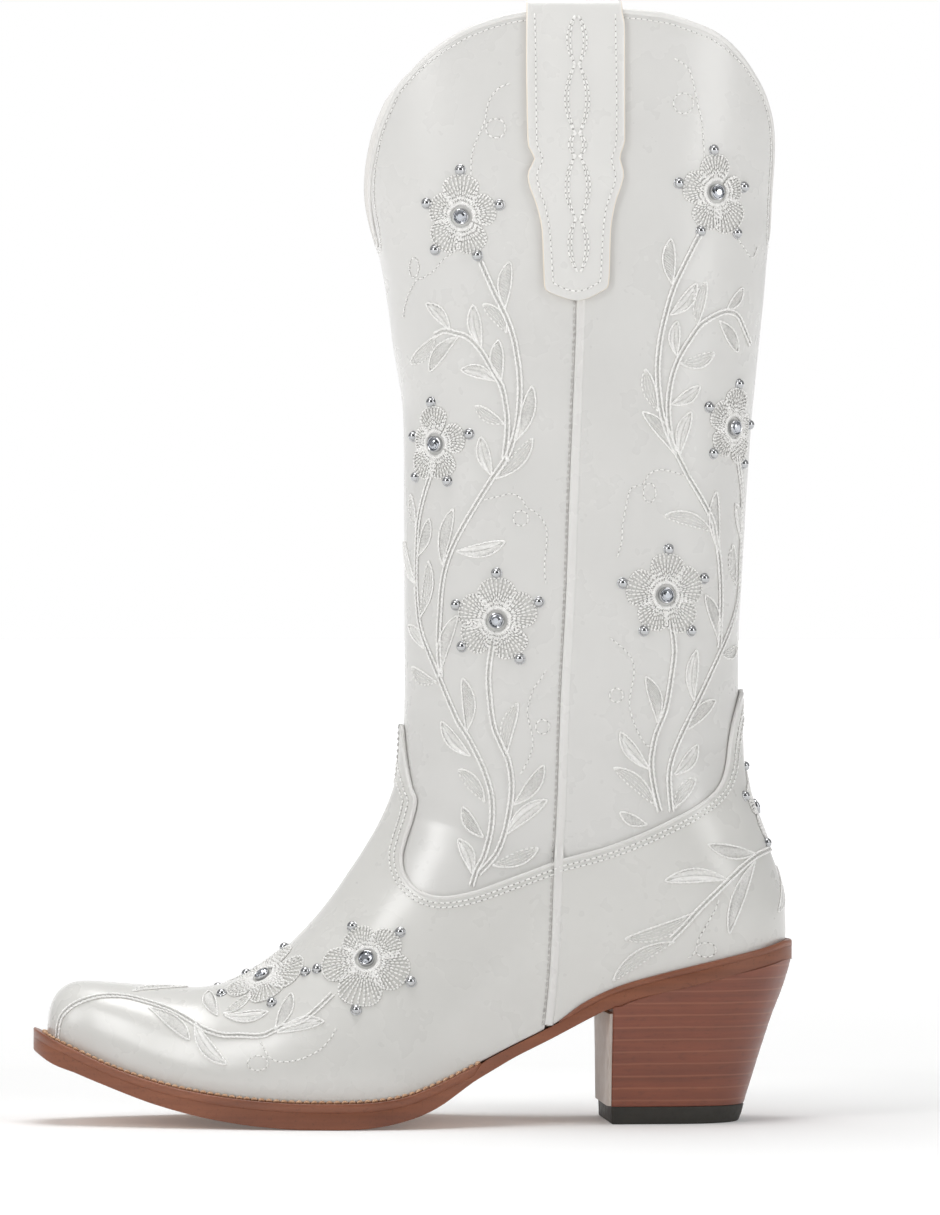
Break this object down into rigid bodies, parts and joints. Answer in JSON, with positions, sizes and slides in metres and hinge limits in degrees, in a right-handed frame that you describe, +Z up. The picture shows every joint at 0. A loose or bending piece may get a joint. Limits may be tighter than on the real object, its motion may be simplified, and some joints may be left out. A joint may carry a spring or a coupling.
{
  "type": "cowboy boot",
  "caption": "Left women's pull-on cowboy boot with a scalloped shaft, pull straps, embroidered flowers with studs and crystals, snip toe, leather welt and stacked block heel.",
  "frame": {"origin": "centre of the footprint's bounding box, on the ground under the sole and heel", "axes": "+Z up, toe towards -X and heel towards +X, outer (lateral) side of this left boot towards -Y"},
  "size_m": [0.2856, 0.0992, 0.4184],
  "materials": {
    "upper_leather": "pearl white smooth leather, satin",
    "lining_leather": "cream lining leather, matt",
    "stiffener_board": "pressed fibre stiffener",
    "insole_board": "insole board",
    "filler": "cork and rubber filler",
    "shank_steel": "spring steel",
    "welt_leather": "tan brown welt, waxed edge",
    "sole_leather": "brown leather sole, waxed edge",
    "heel_stack": "stacked heel, red brown with fine lighter layers",
    "facing_leather": "pale heel breast facing",
    "top_lift_rubber": "matt black rubber",
    "stud_chrome": "polished",
    "crystal": "clear faceted rhinestone"
  },
  "bodies": {
    "root": {"crystal_heel_back": "crystal", "crystal_inner_back_lower": "crystal", "crystal_inner_back_middle": "crystal", "crystal_inner_back_top": "crystal", "crystal_inner_front_lower": "crystal", "crystal_inner_front_middle": "crystal", "crystal_inner_front_top": "crystal", "crystal_outer_back_lower": "crystal", "crystal_outer_back_middle": "crystal", "crystal_outer_back_top": "crystal", "crystal_outer_front_lower": "crystal", "crystal_outer_front_middle": "crystal", "crystal_outer_front_top": "crystal", "crystal_vamp_inner_side": "crystal", "crystal_vamp_inner_top": "crystal", "crystal_vamp_outer_side": "crystal", "crystal_vamp_outer_top": "crystal", "heel_block": "heel_stack", "heel_breast_facing": "facing_leather", "heel_counter": "upper_leather", "heel_lining": "lining_leather", "heel_rand": "welt_leather", "heel_screw": "shank_steel", "heel_stiffener": "stiffener_board", "heel_top_lift": "top_lift_rubber", "insole_board": "insole_board", "outsole": "sole_leather", "pull_strap_inner": "upper_leather", "pull_strap_outer": "upper_leather", "shaft_back_lining": "lining_leather", "shaft_back_panel": "upper_leather", "shaft_front_lining": "lining_leather", "shaft_front_panel": "upper_leather", "side_piping_inner": "upper_leather", "side_piping_outer": "upper_leather", "sock_lining": "lining_leather", "sole_filler": "filler", "steel_shank": "shank_steel", "studs_heel_back": "stud_chrome", "studs_inner_back_lower": "stud_chrome", "studs_inner_back_middle": "stud_chrome", "studs_inner_back_top": "stud_chrome", "studs_inner_front_lower": "stud_chrome", "studs_inner_front_middle": "stud_chrome", "studs_inner_front_top": "stud_chrome", "studs_outer_back_lower": "stud_chrome", "studs_outer_back_middle": "stud_chrome", "studs_outer_back_top": "stud_chrome", "studs_outer_front_lower": "stud_chrome", "studs_outer_front_middle": "stud_chrome", "studs_outer_front_top": "stud_chrome", "studs_vamp_inner_side": "stud_chrome", "studs_vamp_inner_top": "stud_chrome", "studs_vamp_outer_side": "stud_chrome", "studs_vamp_outer_top": "stud_chrome", "toe_puff": "stiffener_board", "top_binding": "upper_leather", "vamp": "upper_leather", "vamp_lining": "lining_leather", "welt": "welt_leather"}
  },
  "joints": []
}
